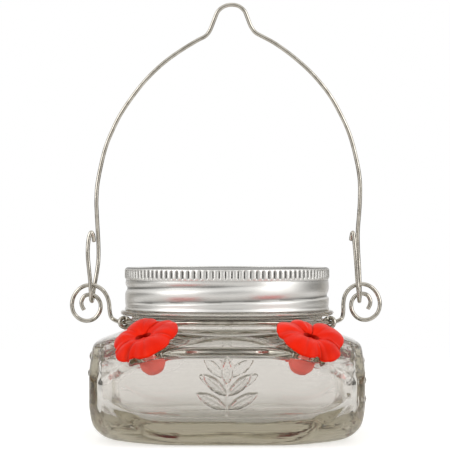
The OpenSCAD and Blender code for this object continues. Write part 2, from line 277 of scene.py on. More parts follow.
def body_outside(p):
    x, y, z = p[..., 0], p[..., 1], p[..., 2]
    r = np.hypot(x, y)
    h = HW + 0.36
    f = sd_rect(x, y, h, h, 13.9)
    for t in (np.abs(x), np.abs(y)):
        f = smax(f, sd_rect(t, z - 40.0, h, 40.65, 12.6), 1.5)
        f = smax(f, (z - np.interp(t, FINE_R, SIDE)) / np.interp(t, FINE_R, SIDE_N), 1.3)
    f = smax(f, (z - np.interp(r, FINE_R, DOME)) / np.interp(r, FINE_R, DOME_N), 1.6)
    return smax(f, (np.interp(r, FINE_R, FOOT) - z) / np.interp(r, FINE_R, FOOT_N), 2.0)


IN_FLOOR = smooth_curve(np.array([[0, 9.4], [25, 9.1], [42, 8.5], [50, 8.6], [54, 9.1], [58, 10.1], [62, 11.8], [66, 14.4], [70, 18], [76, 25], [100, 60]]), 120)


def body_inside(p):
    x, y, z = p[..., 0], p[..., 1], p[..., 2]
    r = np.hypot(x, y)
    h = HW - 5.5 + 0.3
    zc, hz = 25.75, 17.25
    er = np.where(z < zc, 9.0, 3.0)
    f = sd_rect(x, y, h, h, 9.0)
    f = smax(f, sd_rect(x, z - zc, h, hz, er), 1.2)
    f = smax(f, sd_rect(y, z - zc, h, hz, er), 1.2)
    for t in (np.abs(x), np.abs(y)):
        f = smax(f, (z + 5.9 - np.interp(t, FINE_R, slope_from_neck(22))) / 1.078, 1.2)
    crown = np.maximum(np.interp(r, FINE_R, DOME), np.where(r < 42.5, np.interp(r, FINE_R, slope_from_neck(14)), -99))
    f = smax(f, (z + 5.9 - crown) / np.interp(r, FINE_R, DOME_N), 1.2)
    f = smax(f, np.interp(r, FINE_R, IN_FLOOR) - z, 3.0)
    mouth = np.maximum(r - 38.0 - 0.7 * sstep(70.2, 71.4, z), z - 72.6)
    return smin(f, np.maximum(mouth, 30 - z), 1.6)


def outer_shift(p):
    """Slight unevenness of pressed glass on the flat faces, the raised sprig and the rows of studs."""
    x, y, z = p[..., 0], p[..., 1], p[..., 2]
    onx = sstep(HW - 1.0, HW - 0.25, np.abs(x))
    ony = sstep(HW - 1.0, HW - 0.25, np.abs(y))
    right = stud_height(y, z, (18.7, 26.5, 34.0)) * (x > 0)
    left = stud_height(y, z, (29.5, 36.0)) * (x < 0)
    d = np.zeros_like(p)
    d[..., 0] = np.sign(x) * onx * (-0.10 + 0.08 * wave(p * np.array([0, 1, 1]), 3, 26) + right + left)
    d[..., 1] = np.sign(y) * ony * (-0.10 + 0.08 * wave(p * np.array([1, 0, 1]), 5, 26) + sprig_height(x, z - 13.2))
    return d


def inner_shift(p):
    x, y, z = p[..., 0], p[..., 1], p[..., 2]
    hi = HW - 5.5
    onx = sstep(hi - 1.2, hi - 0.3, np.abs(x))
    ony = sstep(hi - 1.2, hi - 0.3, np.abs(y))
    d = np.zeros_like(p)
    d[..., 0] = np.sign(x) * onx * 0.30 * wave(p * np.array([0, 1, 0.55]), 11, 27)
    d[..., 1] = np.sign(y) * ony * 0.30 * wave(p * np.array([1, 0, 0.55]), 12, 27)
    d[..., 2] = sstep(11.0, 9.6, z) * 0.25 * wave(p * np.array([1, 1, 0]), 13, 30)
    return d


def surface_normals(fn, shift, p, e=0.03):
    """Outward normals of the surface fn = 0 after its points have been shifted."""
    g = np.zeros_like(p)
    for k in range(3):
        s = np.zeros(3)
        s[k] = e
        g[..., k] = fn(p + s - shift(p + s)) - fn(p - s - shift(p - s))
    return g / np.maximum(np.linalg.norm(g, axis=-1, keepdims=True), 1e-9)


NORMALS = []


def cast(fn, targets, centre, far):
    """First crossing of fn = 0 from the centre towards each target."""
    d = targets - centre
    d = d / np.linalg.norm(d, axis=-1, keepdims=True)
    lo = np.zeros(d.shape[:-1])
    hi = np.full(d.shape[:-1], float(far))
    for _ in range(34):
        mid = (lo + hi) / 2
        inside = fn(centre + d * mid[..., None]) < 0
        lo = np.where(inside, mid, lo)
        hi = np.where(inside, hi, mid)
    return centre + d * lo[..., None]


def square_outline(half, corner, front, side, bend):
    """Points round a rounded square, anticlockwise from the middle of the right face. front and side are offsets along the faces."""
    pts = []
    flat = half - corner
    arc = [math.radians(90 * (i + 0.5) / bend) for i in range(bend)]
    for q in range(4):
        offs = side if q % 2 == 0 else front
        ca, sa = [(1, 0), (0, 1), (-1, 0), (0, -1)][q]
        for o in offs:
            x, y = half, o
            pts.append((ca * x - sa * y, sa * x + ca * y))
        for a in arc:
            x = flat + corner * math.cos(a)
            y = flat + corner * math.sin(a)
            pts.append((ca * x - sa * y, sa * x + ca * y))
    return np.array(pts)


def leaf_field(u, v, length, width):
    """Distance inside a leaf's outline. u runs along the leaf from its foot."""
    r = (length * length / 4 + width * width / 4) / width
    return r - np.hypot(u - length / 2, np.abs(v) + r - width / 2)


def sprig_height(x, z):
    """Raised sprig of leaves: x across and z up from the foot of its stem, in mm."""
    out = np.zeros_like(x)
    stem = np.minimum(0.75 + 0.1 * sstep(14, 0, z) - np.abs(x + 0.25 * np.sin(z * 0.35)), np.minimum(z + 0.2, 14.5 - z))
    out = np.maximum(out, 0.7 * sstep(0, 0.65, stem))
    leaves = [(s, f, a, l, w) for s in (-1, 1) for (f, a, l, w) in ((2.5, 62, 14.5, 5.0), (8.0, 48, 13.5, 4.8))]
    leaves.append((1, 12.5, 0, 12.0, 5.0))
    for s, f, a, l, w in leaves:
        t = math.radians(90 - s * a)
        dx, dz = x, z - f
        u = dx * math.cos(t) + dz * math.sin(t)
        v = -dx * math.sin(t) + dz * math.cos(t)
        e = leaf_field(u, v, l, w)
        body = 0.42 * sstep(0.0, 0.55, e)
        rim = 0.42 * np.exp(-(((e - 0.55) / 0.34) ** 2)) * sstep(-0.1, 0.25, e)
        rib = 0.30 * np.exp(-((v / 0.34) ** 2)) * sstep(0.2, 0.9, e)
        vein = 0.14 * np.exp(-(((((u - np.abs(v) * 1.1) / 1.9) % 1.0) - 0.5) / 0.2) ** 2) * sstep(0.5, 1.1, e)
        out = np.maximum(out, body + np.maximum(rim, np.maximum(rib, vein)))
    return out


def stud_height(u, z, rows):
    out = np.zeros_like(u)
    for zc in rows:
        reach = 4 if zc < 32 else 3
        for k in range(-reach, reach + 1):
            d2 = (u - k * 9.6) ** 2 + (z - zc) ** 2
            out = np.maximum(out, np.sqrt(np.maximum(2.8 ** 2 - d2, 0)) - 1.9)
    return np.maximum(out, 0)


def spaced(lo, hi, step):
    n = max(1, int(round(abs(hi - lo) / step)))
    return [lo + (hi - lo) * i / n for i in range(n + 1)]


def jar_body():
    fine = spaced(-16.2, 16.2, 0.45)
    edge = spaced(17.2, 44.2, 1.5)
    front = [-e for e in reversed(edge)] + fine + edge
    studs = spaced(-41.3, 41.3, 0.72)
    side = [-43.6, -42.4] + studs + [42.4, 43.6]
    outline = square_outline(HW, 13.0, front, side, 15)
    rows = []
    for s in spaced(0.03, 0.80, 0.035):
        rows.append((s, 0.0))
    for s in spaced(0.82, 1.0, 0.03):
        rows.append((s, 0.0))
    rows += [(1.0, z) for z in spaced(1.0, 12.0, 0.85)]
    rows += [(1.0, z) for z in spaced(12.5, 38.2, 0.45)]
    rows += [(1.0, z) for z in spaced(38.7, 42.6, 0.45)]
    rows += [(s, 43.2 + (1 - s) * 14) for s in spaced(0.985, 0.66, 0.0125)]
    centre = np.array([0, 0, 24.0])
    T = np.array([[[s * x, s * y, z] for x, y in outline] for s, z in rows])
    P = cast(body_outside, T, centre, 120)
    P = P + outer_shift(P)
    N = surface_normals(body_outside, outer_shift, P)
    P[..., :2] = np.clip(P[..., :2], -58.3, 58.3)
    NORMALS.append((P.reshape(-1, 3), N.reshape(-1, 3)))
    verts, faces = solid_of_rings(P)
    return new_object("jar_outer", verts, faces)


def jar_neck():
    prof = [(43.35, 43.0), (43.35, 46.95), (42.75, 47.2), (42.2, 47.45), (41.85, 47.9), (41.65, 48.6), (41.6, 49.4), (41.6, 51.2), (41.75, 51.8),
            (42.2, 52.25), (42.9, 52.42), (45.3, 52.42), (46.0, 52.6), (46.4, 52.95), (46.58, 53.3), (46.58, 53.75), (46.4, 54.1),
            (46.0, 54.42), (45.3, 54.58), (42.6, 54.6), (41.95, 54.8), (41.65, 55.3), (41.6, 56.0), (41.6, 63.0), (41.6, 69.9), (41.5, 70.5),
            (41.2, 71.0), (40.8, 71.28), (40.3, 71.39), (39.5, 71.4), (33.0, 71.4)]
    verts, faces = solid_of_rings(lathe_rings(prof, 200))
    return new_object("jar_neck", verts, faces)


def jar_thread():
    turns, pitch, steps = 1.25, 6.35, 150
    ring = []
    for i in range(9):
        a = math.pi * i / 8
        ring.append((-1.15 * math.cos(a), math.sin(a)))
    ring += [(1.15, -1), (-1.15, -1)]
    rings = []
    for i in range(steps + 1):
        a = 2 * math.pi * turns * i / steps
        fade = min(1.0, min(i, steps - i) / 9)
        fade = 0.12 + 0.88 * (3 * fade * fade - 2 * fade ** 3)
        row = []
        for q, h in ring:
            r = 40.8 if h < 0 else 41.55 + h * 1.05 * fade
            row.append((r * math.cos(a), r * math.sin(a), 58.6 + pitch * turns * i / steps + q))
        rings.append(row)
    verts, faces = solid_of_rings(np.array(rings))
    return new_object("jar_thread", verts, faces)


def port_cylinder(name, r, z0, z1, key, n=64):
    rings = lathe_rings([(r, z0), (r, z1)], n)
    q, mirrored = port_place(rings.reshape(-1, 3), *CORNERS[key])
    verts, faces = solid_of_rings(q.reshape(rings.shape), flip=mirrored)
    return new_object(name, verts, faces)


def jar_cavity():
    flat = spaced(-43.0, 43.0, 1.75)
    outline = square_outline(HW - 5.5, 9.0, flat, flat, 14)
    unit_ring = outline / np.linalg.norm(outline, axis=1, keepdims=True)
    T = []
    for s in spaced(0.04, 1.0, 0.05):
        T.append(np.c_[outline * s, np.full(len(outline), 8.6)])
    for z in spaced(9.6, 16.5, 0.9):
        T.append(np.c_[outline, np.full(len(outline), z)])
    for z in spaced(18.5, 34.0, 2.2):
        T.append(np.c_[outline, np.full(len(outline), z)])
    for z in spaced(35.0, 38.6, 0.8):
        T.append(np.c_[outline, np.full(len(outline), z)])
    for t in spaced(0.08, 1.0, 0.085):
        q = outline * (1 - t) + unit_ring * 40.5 * t
        T.append(np.c_[q, np.full(len(outline), 39.2 + 2.2 * t)])
    for z in (41.9, 42.5, 43.2, 44.0, 45.0, 46.5, 49, 52, 56, 60, 64, 68, 70.0, 70.4, 70.8, 71.1, 71.4, 71.9, 72.5):
        T.append(np.c_[unit_ring * 38.2, np.full(len(outline), z)])
    T = np.array(T)
    centre = np.array([0, 0, 24.0])
    P = cast(body_inside, T, centre, 120)
    P = P + inner_shift(P)
    N = surface_normals(body_inside, inner_shift, P)
    NORMALS.append((P.reshape(-1, 3), -N.reshape(-1, 3)))
    verts, faces = solid_of_rings(P)
    return new_object("jar_cavity", verts, faces)


jar = jar_body()
boolean(jar, [jar_neck(), jar_thread()], "UNION")
boolean(jar, [port_cylinder("boss", 8.4, -7.6, -3.9, k) for k in CORNERS], "UNION")
boolean(jar, [jar_cavity()], "DIFFERENCE")
boolean(jar, [port_cylinder("bore", 5.4, -21.2, 2.0, k) for k in CORNERS], "DIFFERENCE")
boolean(jar, [port_cylinder("seat", 9.4, -3.9, 4.1, k) for k in CORNERS], "DIFFERENCE")
jar.name = "glass_jar_visual"
finish_shading(jar, True, 38)


def true_normals(ob):
    """The moulded surfaces take the normals of their smooth shape, which keeps the thick glass clear. Cut edges keep the mesh's own."""
    from mathutils import kdtree
    P = np.vstack([q for q, _ in NORMALS]) * MM
    N = np.vstack([q for _, q in NORMALS])
    tree = kdtree.KDTree(len(P))
    for i, q in enumerate(P):
        tree.insert(q, i)
    tree.balance()
    me = ob.data
    hit = {}
    for v in me.vertices:
        co, i, d = tree.find(v.co)
        if d < 2e-6:
            hit[v.index] = N[i]
    out = []
    corner = me.corner_normals
    for i, lp in enumerate(me.loops):
        n = corner[i].vector
        t = hit.get(lp.vertex_index)
        if t is not None and n.x * t[0] + n.y * t[1] + n.z * t[2] > 0.82:
            out.append(tuple(t))
        else:
            out.append((n.x, n.y, n.z))
    me.normals_split_custom_set(out)


true_normals(jar)


# ------------------------------------------------------------------ screw lid
def groove(A, Z):
    """Inward roll of the band's screw thread: a helix that starts at the lower left and runs out under the knurl. Creased below on its first turn, rounder on the next."""
    deg = (np.degrees(A) + 90 + 360) % 360  # 0 at the front, growing to the right
    out = np.zeros_like(Z)
    for turn in (-360, 0, 360):
        t = deg + turn
        zc = 59.3 + 6.35 * t / 360
        fade = sstep(-82, -50, t) * sstep(392, 352, t)
        below = 0.5 + 0.8 * sstep(110, 230, t)
        above = 1.9 - 0.5 * sstep(110, 230, t)
        s = Z - zc
        out = np.maximum(out, fade * np.exp(-((s / np.where(s > 0, above, below)) ** 2)))
    return out


def knurl(A, Z, n=105):
    ph = (A * n / (2 * math.pi)) % 1.0
    d = np.abs(ph - 0.5) * 2
    w = sstep(68.3, 69.1, Z) * sstep(72.55, 71.8, Z)
    return w * np.exp(-((d / 0.34) ** 2))


def screw_band():
    outer = [(43.9, 54.72), (44.35, 54.72), (44.66, 54.86), (44.74, 55.15), (44.68, 55.45), (44.42, 55.7), (44.3, 56.0), (44.36, 57.0),
             (44.52, 58.0), (44.56, 61), (44.54, 65), (44.46, 66.6), (44.3, 67.4), (44.22, 67.9), (44.45, 68.4), (44.72, 68.9),
             (44.74, 71.9), (44.62, 72.5), (44.3, 72.95), (43.8, 73.2), (43.2, 73.29), (41.0, 73.22), (39.4, 73.29), (38.8, 73.26), (38.45, 73.08)]
    inner = [(38.42, 72.9), (38.7, 72.84), (42.9, 72.84), (43.5, 72.7), (43.85, 72.2), (43.9, 71.0), (43.9, 68.9), (43.75, 67.9), (43.95, 66.6),
             (44.02, 65), (44.04, 61), (44.0, 58), (43.85, 57), (43.8, 56), (43.78, 55.2)]
    ring = soften(dense(outer + inner, 0.42, loop=True), True, 2, 0.35)
    # the first outer points of the ring are its outer skin, so both skins take the same roll
    def radial(A, Z, R):
        side = sstep(42.9, 43.5, R)
        skin = sstep(44.0, 44.15, R)
        return -0.98 * groove(A, Z) * side * sstep(55.6, 57.0, Z) - 0.62 * knurl(A, Z) * skin - 0.45 * knurl(A, Z) * side * (1 - skin)
    rings = lathe_rings(ring, 105 * 8, 0.0, radial)
    # a little hand-made unevenness
    rings[..., 2] += 0.03 * wave(rings * np.array([1, 1, 0]), 21, 60)
    rings[..., 2] = np.clip(rings[..., 2], 54.7, 73.3)
    verts, faces = solid_of_rings(rings, loop=True)
    ob = new_object("screw_band_visual", verts, faces, angle=50)
    # how far each point lies in a knurl groove or the thread's crease; this darkens the colour: the knurl's grooves,
    # with painted shade along the thread's crease
    ang = 2 * math.pi * np.arange(105 * 8) / (105 * 8)
    A = np.repeat(ang[None, :], len(ring), 0)
    Z = rings[..., 2]
    R = np.hypot(rings[..., 0], rings[..., 1])
    dark_grooves_and_painted_shade = np.clip(1.0 * knurl(A, Z) ** 1.6 + 0.75 * np.clip(groove(A, Z), 0, 1) ** 5, 0, 1) * sstep(42.9, 43.2, R)
    # painted shade: a dark line along the top edge of the rim, where the band meets the disc
    dark_grooves_and_painted_shade = np.maximum(dark_grooves_and_painted_shade, 0.8 * sstep(72.55, 72.95, Z) * sstep(42.6, 43.2, R))
    # painted shade: a soft dark line just under the knurl
    dark_grooves_and_painted_shade = np.maximum(dark_grooves_and_painted_shade, sstep(0.35, 0.0, np.abs(Z - 67.75)) * 0.35)
    layer = ob.data.attributes.new("dark_grooves_and_painted_shade", "FLOAT", "POINT")
    layer.data.foreach_set("value", dark_grooves_and_painted_shade.ravel().astype(np.float32))
    return ob


def lid_disc():
    top = [(0.0, 72.40), (10, 72.40), (22, 72.40), (28.6, 72.40), (29.2, 72.46), (29.8, 72.40), (32.6, 72.38), (33.2, 72.42), (33.8, 72.56), (34.3, 72.68),
           (36, 72.69), (42.3, 72.69), (42.6, 72.66), (42.82, 72.52), (42.88, 72.3), (42.88, 71.8), (42.75, 71.72), (42.6, 71.78), (42.45, 72.15)]
    under = [(41.9, 72.21), (34.6, 72.21), (34.1, 72.1), (33.6, 71.92), (29.8, 71.9), (29.2, 71.96), (28.6, 71.9), (22, 71.9), (10, 71.9), (0.0, 71.9)]
    prof = dense(top + under, 1.2)
    prof = prof[1:-1]
    prof[0][0] = max(prof[0][0], 0.8)
    verts, faces = solid_of_rings(lathe_rings(prof, 160)[::-1])
    return new_object("lid_disc_visual", verts, faces, angle=45)


def lid_gasket():
    prof = [(37.65, 71.68), (37.75, 71.61), (41.8, 71.61), (42.0, 71.68), (42.09, 71.8), (42.09, 72.1), (42.0, 72.18), (37.75, 72.19), (37.62, 72.1)]
    rings = lathe_rings(dense(prof, 0.7, loop=True), 160)
    verts, faces = solid_of_rings(rings, loop=True)
    return new_object("lid_gasket_visual", verts, faces, angle=45)


band = screw_band()
disc = lid_disc()
gasket = lid_gasket()


# ------------------------------------------------------------------ wires
def catmull(P, n):
    P = [np.asarray(p, float) for p in P]
    m = len(P) - 1
    out = []
    for i in range(m):
        a, b, c, d = P[max(i - 1, 0)], P[i], P[i + 1], P[min(i + 2, m)]
        for k in range(n):
            t = k / n
            out.append(0.5 * (2 * b + (c - a) * t + (2 * a - 5 * b + 4 * c - d) * t * t + (3 * b - a - 3 * c + d) * t ** 3))
    out.append(P[m])
    return out


def wire(name, points, r=0.9, sides=18):
    P = np.array(points, float)
    keep = [0]
    for i in range(1, len(P)):
        if np.linalg.norm(P[i] - P[keep[-1]]) > 0.12:
            keep.append(i)
    P = P[keep]
    T = np.gradient(P, axis=0)
    T /= np.linalg.norm(T, axis=1, keepdims=True)
    seed = np.array([0, 0, 1.0]) if abs(T[0][2]) < 0.8 else np.array([1.0, 0, 0])
    u = unit(seed - (seed @ T[0]) * T[0])
    s = np.r_[0, np.cumsum(np.linalg.norm(np.diff(P, axis=0), axis=1))]
    rings, uv = [], []
    a = 2 * math.pi * np.arange(sides) / sides

    def ring(c, u, v, rr):
        return c + rr * (np.cos(a)[:, None] * u + np.sin(a)[:, None] * v)

    for i in range(len(P)):
        u = unit(u - (u @ T[i]) * T[i])
        v = np.cross(T[i], u)
        if i == 0:
            rings.append(ring(P[0], u, v, r * 0.72))
            rings.append(ring(P[0] + T[0] * 0.10, u, v, r * 0.93))
            rings.append(ring(P[0] + T[0] * 0.24, u, v, r))
            uv += [s[0], s[0] + 0.1, s[0] + 0.24]
        elif i == len(P) - 1:
            rings.append(ring(P[i] - T[i] * 0.24, u, v, r))
            rings.append(ring(P[i] - T[i] * 0.10, u, v, r * 0.93))
            rings.append(ring(P[i], u, v, r * 0.72))
            uv += [s[i] - 0.24, s[i] - 0.1, s[i]]
        elif 0.4 < s[i] < s[-1] - 0.4:
            rings.append(ring(P[i], u, v, r))
            uv.append(s[i])
    rings = np.array(rings)
    verts, faces = solid_of_rings(rings)
    around = np.abs(np.arange(sides) / sides * 2 - 1)
    uvs = np.array([[around[k], L * 0.01] for L in uv for k in range(sides)] + [[0.5, uv[0] * 0.01], [0.5, uv[-1] * 0.01]])
    return new_object(name, verts, faces, angle=50, uv=uvs)


RING_R = 42.6
LEAVE = math.radians(60)
COLLAR_Z = 49.4
SCROLL = np.array([[49.4, -0.7, 50.3], [50.7, 0, 51.6], [51.2, 0, 54.2], [51.4, 0, 57.6], [52.3, 0, 60.8], [54.2, 0, 63.5], [57, 0, 65.2],
                   [60.3, 0, 65.6], [63.7, 0, 64.3], [66.4, 0, 61.2], [67.5, 0, 57.2], [66.7, 0, 53.4], [64.2, 0, 50.8], [61, 0, 49.9],
                   [57.7, 0, 50.9], [55.4, 0, 53.8], [55, 0, 57.2], [56.6, 0, 60.2], [59.4, 0, 61.4], [61.9, 0, 60.8], [63.2, 0, 58.8],
                   [63.2, 0, 56.7], [62.2, 0, 54.6]])
P_LEAVE = np.array([RING_R * math.sin(LEAVE), -RING_R * math.cos(LEAVE), COLLAR_Z])
D_LEAVE = np.array([math.cos(LEAVE), math.sin(LEAVE), 0])


def run(offset):
    pts = [P_LEAVE + s * D_LEAVE for s in (7, 14, 19)]
    return pts + [SCROLL[i] + min(1, i / 4) * np.array(offset) for i in range(len(SCROLL))]


right_run = run([-0.6, 0, 0.3])
left_run = run([0.4, 0, -0.1])
front_arc = [np.array([RING_R * math.sin(math.radians(a)), -RING_R * math.cos(math.radians(a)), COLLAR_Z + 1.2 * math.cos(math.radians(1.5 * a))])
             for a in np.arange(-60, 60.01, 2)]
flip = np.array([-1, 1, 1])
front_points = list(reversed(catmull([p * flip for p in left_run], 7))) + front_arc + catmull(right_run, 7)
wire_front = wire("neck_wire_front_visual", front_points)

eye_f = P_LEAVE + 16.6 * D_LEAVE - np.array([0, 0, 0.05])
eye_out = np.array([math.sin(LEAVE), -math.cos(LEAVE), 0])
eye = [eye_f - D_LEAVE * (150 - a) / 360 * 2.1 + (1.8 + 0.19) * (math.cos(math.radians(a)) * eye_out + np.array([0, 0, math.sin(math.radians(a))]))
       for a in range(150, -271, -10)]
eye_knots = [eye[i] for i in range(0, len(eye), 3)]
rear_arc = [np.array([-RING_R * math.sin(math.radians(a)), RING_R * math.cos(math.radians(a)), 49.6 + 0.5 * math.cos(math.radians(a))])
            for a in np.arange(-80, 80.01, 3.2)]
side_pts = catmull([np.array([43.4, 3.2, 49.9])] + eye_knots, 6)
rear_points = list(reversed(side_pts)) + rear_arc + [p * flip for p in side_pts]
wire_rear = wire("neck_wire_rear_visual", rear_points)

ARCH_LEFT = [[-57.2, 0.2, 103], [-56.5, 0, 111.2], [-53.6, 0, 124.3], [-50.2, 0, 133.1], [-45.6, 0, 141.9], [-37.3, 0, 153.3], [-29.1, 0, 161.6],
             [-21.3, 0, 167.5], [-13.4, 0, 172.4], [-9.6, 0, 174.4], [-7.6, 0, 176.8], [-5.7, 0, 181.4], [-3.9, 0, 185.4], [-1, 0, 187.6]]
ARCH_RIGHT = [[2.1, 0, 188.2], [5.1, 0, 187.6], [7.6, 0, 185.5], [9, 0, 182.3], [10.5, 0, 178.6], [12.5, 0, 176], [15.7, 0, 174.2], [21.6, 0, 170.9],
              [29.5, 0, 165.1], [37.4, 0, 157.9], [44.7, 0, 149], [49.9, 0, 139.9], [53.8, 0, 131], [56.7, 0, 120.1], [58.1, 0, 111.5], [58.2, 0.2, 103]]
HOOK_RIGHT = [[54.2, -1.2, 85], [54.5, -2.2, 87.5], [54.9, -2.9, 88.4], [55.3, -3.2, 86.4], [55.8, -3.3, 81.5], [56.4, -3.1, 74.5],
              [56.9, -2.8, 67], [57.4, -2.7, 62.5], [57.7, -1.9, 59.3], [58, 0, 58.4], [58.2, 1.9, 59.3], [58.3, 2.7, 62.5], [58.2, 2.8, 67],
              [58, 2.9, 72.5], [57.7, 2.9, 78], [57.4, 2.5, 84], [57.4, 1.6, 90], [57.9, 0.7, 97]]
HOOK_LEFT = [[-58.2, -1, 84.4], [-58.5, -1.9, 87.2], [-59.3, -2.7, 88.5], [-60.2, -3.1, 86.4], [-60.7, -3.3, 82], [-60.7, -3.2, 77.5],
             [-60.2, -3, 72], [-59.7, -2.8, 67], [-59.5, -2.7, 62.5], [-59.4, -1.9, 59.3], [-59.2, 0, 58.4], [-59, 1.9, 59.3], [-58.7, 2.7, 62.5],
             [-58, 2.8, 66.5], [-57.1, 2.9, 71.5], [-56.5, 2.9, 77], [-56.5, 2.5, 83.5], [-56.8, 1.7, 90], [-57.1, 0.7, 97]]
route = HOOK_LEFT + ARCH_LEFT + ARCH_RIGHT + list(reversed(HOOK_RIGHT))
bail = wire("bail_visual", catmull(route, 8))


# ------------------------------------------------------------------ flowers and stoppers
# Petals of each flower: direction in degrees from straight down the slope, length, half width, height of its layer,
# how far its tip curls up, and where its fold lies
PETALS = {
    "front_left": [(152, 13.4, 45, 0.35, 0.1, 9), (235, 14.9, 50, -0.25, 0.5, -14), (315, 15.2, 50, 0.30, 0.2, 12), (17, 14.4, 40, -0.30, -0.5, -6), (82, 13.2, 42, 0.05, -0.2, 8)],
    "front_right": [(246, 15.3, 40, -0.20, 0.7, 8), (178, 12.6, 37, -0.35, 0.3, -6), (99, 15.0, 50, 0.25, 0.3, 13), (20, 14.6, 44, -0.05, -0.5, -9), (310, 15.3, 46, 0.40, 0.1, 10)],
    "rear_left": [(150, 13.2, 44, 0.20, 0.3, -8), (228, 14.6, 46, -0.20, 0.6, 12), (300, 15.1, 46, 0.35, 0.2, -10), (12, 14.8, 44, -0.30, -0.4, 6), (82, 14.2, 46, 0.05, 0.1, 10)],
    "rear_right": [(200, 13.0, 44, 0.25, 0.2, 7), (276, 14.8, 46, -0.30, 0.5, -11), (346, 15.0, 46, 0.35, -0.4, 9), (58, 15.2, 44, -0.10, 0.1, -8), (128, 14.0, 44, 0.10, 0.4, 12)],
}


def flower(key, seed):
    na = 300
    a = 2 * math.pi * np.arange(na) / na
    deg = np.degrees(a)
    petals = PETALS[key]
    off = [((deg - q[0] + 180) % 360) - 180 for q in petals]
    R = np.full(na, 6.0)
    for d, (_, length, half, _, _, fold) in zip(off, petals):
        x = np.abs(d / half) * (1 + 0.10 * np.sign(fold) * np.sign(d))
        R = np.maximum(R, length * (1 - 0.30 * x ** 2.7 - 0.035 * np.exp(-(((d - 1.3 * fold) / 5.0) ** 2))))
    for _ in range(2):
        R = (np.roll(R, 1) + 2 * R + np.roll(R, -1)) / 4
    R *= 1 + 0.010 * np.sin(6 * a + seed) * np.cos(5 * a + 1.3 * seed)
    R = np.minimum(R, 14.85)
    rows_top = [0, 0.02, 0.05, 0.09, 0.14, 0.2, 0.27, 0.34, 0.42, 0.5, 0.58, 0.66, 0.74, 0.81, 0.87, 0.92, 0.96, 0.985, 1.0]

    def height(t):
        top = np.full(na, -9.0)
        common = 0.15 + 1.30 * math.sin(math.radians(150 * t)) - 1.50 * t * t
        arch = math.sin(math.pi * min(1, t * 0.92))
        for d, (_, length, half, layer, tip, fold) in zip(off, petals):
            x = d / (half * (0.80 + 0.20 * math.sin(2.4 * t)))
            z = common + 0.55 * np.cos(1.4 * np.clip(x, -1.1, 1.1)) * arch - 0.30 * x * x * t
            z = z + 1.5 * layer * sstep(0.08, 0.45, t) + tip * t ** 3
            z = z - 0.22 * np.exp(-(((d - fold * (0.4 + t)) / 6.5) ** 2)) * math.sin(math.pi * min(1, t * 0.95)) ** 0.8
            z = z + 0.45 * np.exp(-(((d + 1.2 * fold) / 13.0) ** 2)) * math.sin(math.pi * t)
            z = z - 3.0 * sstep(0.95, 1.08, np.abs(x))
            top = np.maximum(top, z)
        return top - 1.0 * t ** 2 * np.maximum(0, np.cos(a)) ** 1.5 + 0.16 * np.sin(a * 7 + 2 * seed) * t ** 3

    rings = []
    throat_r = [1.25, 1.25, 1.28, 1.4, 1.62, 1.9, 2.15]
    throat_z = [-14.5, -4.5, -3.0, -1.9, -1.1, -0.55, -0.15]
    el = 1 + 0.48 * np.cos(2 * (a - math.radians(58)))
    for r, z in zip(throat_r, throat_z):
        w = sstep(-3.0, -0.3, z)
        rr = r * (1 + (el - 1) * w)
        rings.append(np.stack([rr * np.cos(a), rr * np.sin(a), np.full(na, z)], -1))
    r0 = 2.45 * el
    def clear_height(t):
        """The petal's height, raised where it would touch the glass below it"""
        rr = r0 + (R - r0) * t
        z = height(t)
        if t > 0.45:
            for _ in range(4):
                q, _m = port_place(np.stack([rr * np.cos(a), rr * np.sin(a), z - 0.75], -1), *CORNERS[key])
                z = z + np.maximum(0, 0.45 - body_outside(q))
        return z

    for t in rows_top:
        rr = r0 + (R - r0) * t
        rings.append(np.stack([rr * np.cos(a), rr * np.sin(a), clear_height(t)], -1))
    edge = rings[-1].copy()
    outw = np.stack([np.cos(a), np.sin(a), np.zeros(na)], -1)
    rings[-1] = edge - outw * 0.12
    rings.append(edge + np.array([0, 0, -0.22]))
    rings.append(edge + np.array([0, 0, -0.52]))
    rings.append(edge - outw * 0.14 + np.array([0, 0, -0.74]))
    for t in (0.93, 0.84, 0.74, 0.64, 0.56):
        rr = np.maximum(r0 + (R - r0) * t, 5.6)
        zz = clear_height(t) - 0.75 - 0.35 * (1 - t)
        rings.append(np.stack([rr * np.cos(a), rr * np.sin(a), zz], -1))
    for r, z in ((5.3, -0.95), (5.9, -1.25), (6.6, -1.6), (6.78, -1.8), (6.74, -2.0), (6.5, -2.33), (6.3, -2.4), (4.5, -2.4), (3.1, -2.4), (2.9, -2.6), (2.9, -6), (2.9, -10),
                 (2.9, -13.9), (2.82, -14.2), (2.6, -14.42), (2.3, -14.5), (1.6, -14.5)):
        rr = np.full(na, float(r))
        zz = np.full(na, float(z))
        rings.append(np.stack([rr * np.cos(a), rr * np.sin(a), zz], -1))
    P = np.array(rings)
    n_throat, n_top = len(throat_r), len(rows_top)
    # painted shade for the colour: a petal point darkens where it lies below its neighbours round the ring, as in a
    # crease, and the throat rings are darkened fully
    fold = np.zeros(P.shape[:2])
    for i in range(n_throat, n_throat + n_top):
        z = P[i, :, 2]
        around = sum(np.roll(z, k) + np.roll(z, -k) for k in (4, 7, 10)) / 6
        fold[i] = np.clip((around - z) * 1.3 - 0.10, 0, 0.6) * sstep(0.2, 0.45, rows_top[i - n_throat] + 0.15)
    fold[:n_throat] = 0.9
    # the drink hole's inner end closes the ring of rings
    Q, mirrored = port_place(P.reshape(-1, 3), *CORNERS[key])
    verts, faces = solid_of_rings(Q.reshape(P.shape), loop=True, flip=not mirrored)
    ob = new_object("flower_%s_visual" % key, verts, faces, angle=60)
    # painted shade, stored as the fold attribute
    layer = ob.data.attributes.new("fold", "FLOAT", "POINT")
    layer.data.foreach_set("value", fold.ravel().astype(np.float32))
    return ob


